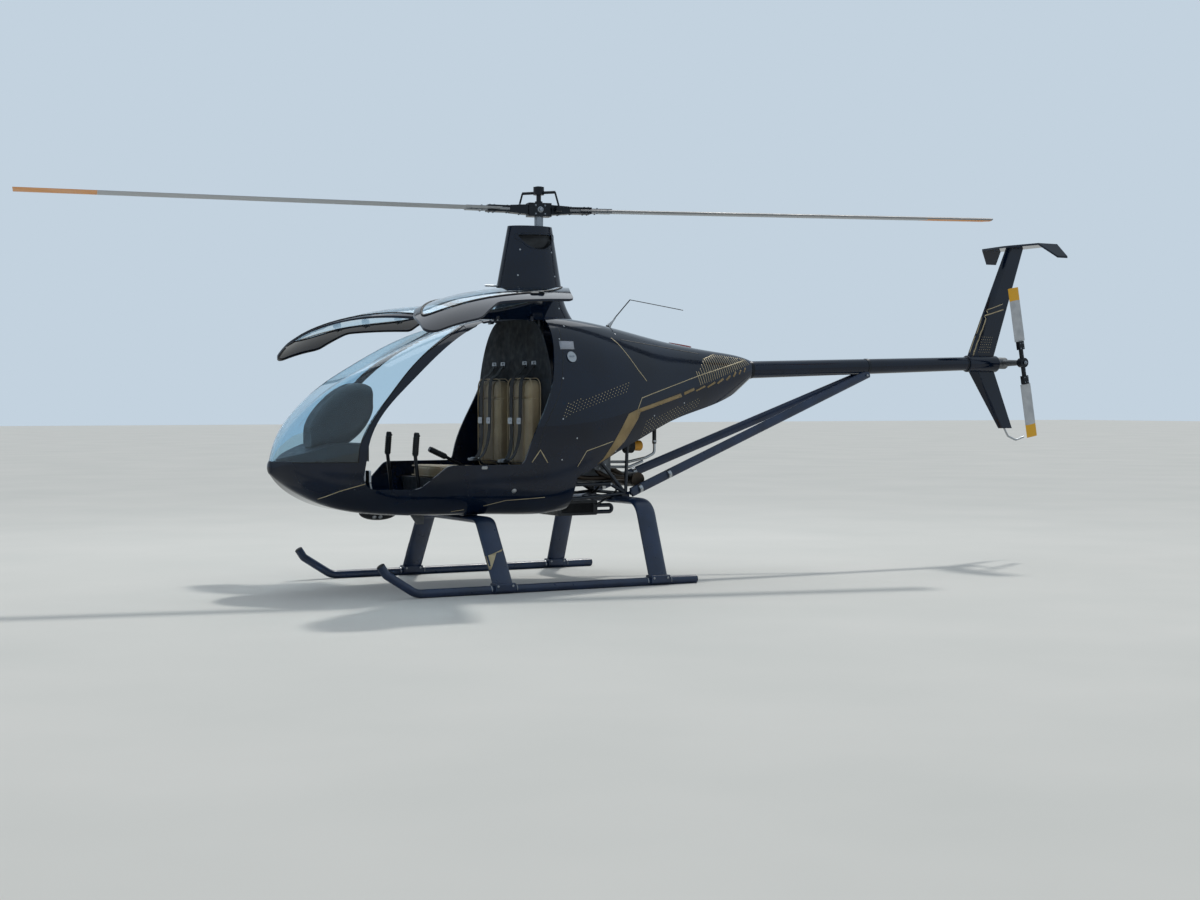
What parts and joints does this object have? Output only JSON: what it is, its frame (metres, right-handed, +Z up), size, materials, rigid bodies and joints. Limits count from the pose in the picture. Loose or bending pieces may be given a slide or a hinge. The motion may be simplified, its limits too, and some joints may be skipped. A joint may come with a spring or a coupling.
{
  "type": "light helicopter",
  "caption": "Light two-seat helicopter on skids: bubble cabin with roof-hinged doors, open engine bay, slim boom, fin with high stabiliser, two-blade main and tail rotors.",
  "frame": {"origin": "on the ground, straight below the main rotor mast's axis", "axes": "+X towards the tail, +Y towards starboard (the pilot's right), +Z up along the mast"},
  "size_m": [7.1528, 2.5486, 2.462],
  "materials": {
    "hull_paint": "gloss dark paint over moulded skins",
    "tinted_glass": "light blue tinted clear sheet",
    "frame_dark": "satin dark paint",
    "gear_blue": "satin slate blue paint",
    "bare_metal": "brushed light metal",
    "engine_metal": "cast light metal",
    "black_part": "matt black",
    "seat_cover": "beige padded cloth",
    "blade_grey": "light grey paint, bright tips",
    "cap_yellow": "yellow moulding",
    "clear_red": "red lens"
  },
  "bodies": {
    "airframe": {"air_filter": "black_part", "back_cushions": "seat_cover", "belly_antenna": "black_part", "belly_lamp": "black_part", "boom_braces": "gear_blue", "cabin_bulkhead": "black_part", "cabin_frame": "hull_paint", "coolant_hose": "black_part", "coolant_pipes": "bare_metal", "door_hinges": "bare_metal", "engine_block": "engine_metal", "engine_frame": "frame_dark", "exhaust_muffler": "frame_dark", "filter_cap": "cap_yellow", "flight_controls": "black_part", "front_gear_bow": "gear_blue", "fuel_cap": "black_part", "instrument_pod": "black_part", "lower_fin": "hull_paint", "lower_hull": "hull_paint", "main_gearbox": "engine_metal", "mast_fairing": "hull_paint", "pedals": "bare_metal", "pitot_tube": "black_part", "radiator_case": "black_part", "radiator_loops": "frame_dark", "rear_cowling": "hull_paint", "rear_gear_bow": "gear_blue", "seat_cushions": "seat_cover", "seat_pan": "black_part", "skid_left": "gear_blue", "skid_right": "gear_blue", "spine_beacon": "clear_red", "stabilizer": "hull_paint", "tail_boom": "hull_paint", "tail_gearbox": "engine_metal", "tail_guard": "bare_metal", "tail_sleeve": "hull_paint", "upper_fin": "hull_paint", "whip_antenna": "black_part", "windshield": "tinted_glass"},
    "left_door": {"left_door_shell": "hull_paint", "left_door_glass": "tinted_glass"},
    "right_door": {"right_door_shell": "hull_paint", "right_door_glass": "tinted_glass"},
    "main_rotor": {"rotor_mast": "bare_metal", "rotor_hub": "bare_metal", "blade_grips": "bare_metal", "main_rotor_blades": "blade_grey", "pitch_spider": "bare_metal"},
    "tail_rotor": {"tail_rotor_hub": "frame_dark", "tail_rotor_blades": "blade_grey"}
  },
  "joints": [
    {"name": "main_rotor_spin", "type": "hinge", "parent": "airframe", "child": "main_rotor", "pos_m": [0, 0, 2.318], "axis": [0, 0, 1], "continuous": true},
    {"name": "tail_rotor_spin", "type": "hinge", "parent": "airframe", "child": "tail_rotor", "pos_m": [3.78, -0.23, 1.399], "axis": [0, 1, 0], "continuous": true},
    {"name": "left_door_hinge", "type": "hinge", "parent": "airframe", "child": "left_door", "pos_m": [-0.365, -0.262, 1.618], "axis": [1, 0, 0], "range_deg": [0, 78]},
    {"name": "right_door_hinge", "type": "hinge", "parent": "airframe", "child": "right_door", "pos_m": [-0.365, 0.262, 1.618], "axis": [1, 0, 0], "range_deg": [-72, 6]}
  ]
}
